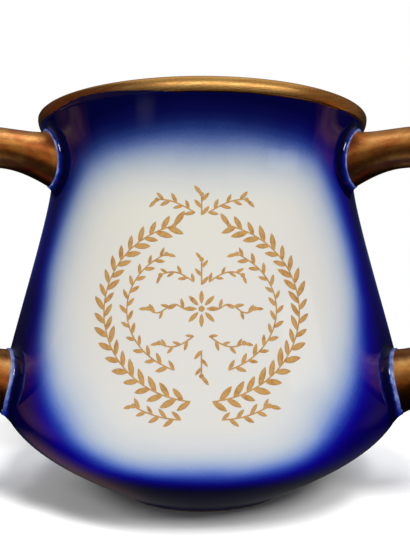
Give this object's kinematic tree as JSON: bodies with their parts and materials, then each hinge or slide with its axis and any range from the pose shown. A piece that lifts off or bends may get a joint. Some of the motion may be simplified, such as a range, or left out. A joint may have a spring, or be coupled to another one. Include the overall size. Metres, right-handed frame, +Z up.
{
  "type": "three-handled loving cup",
  "caption": "Glazed porcelain drinking cup with a wide belly, drawn-in neck, gilt rolled lip and gilt ear handles set evenly round it, standing on a low foot ring.",
  "frame": {"origin": "on the cup's axis, at the plane its foot stands on", "axes": "+Z up along the cup's axis; the decorated front faces -Y, with one handle straight behind at +Y and the other two at 60 degrees to either side of the front"},
  "size_m": [0.1636, 0.1548, 0.114],
  "materials": {
    "cobalt_glaze": "gloss glaze, airbrushed cobalt ground round a cream-white reserve; white inside",
    "collar_glaze": "gloss cobalt glaze, thinner and paler at its edge",
    "foot_glaze": "gloss dark glaze with a bare, worn standing edge",
    "rim_gilding": "burnished gold over the glazed porcelain lip",
    "handle_gilding": "brushed antique gold over the glazed porcelain handle, lightly mottled"
  },
  "bodies": {
    "root": {"foot_ring": "foot_glaze", "bowl": "cobalt_glaze", "gilt_rim": "rim_gilding", "handle_left": "handle_gilding", "collar_left_upper": "collar_glaze", "collar_left_lower": "collar_glaze", "handle_right": "handle_gilding", "collar_right_upper": "collar_glaze", "collar_right_lower": "collar_glaze", "handle_back": "handle_gilding", "collar_back_upper": "collar_glaze", "collar_back_lower": "collar_glaze"}
  },
  "joints": []
}
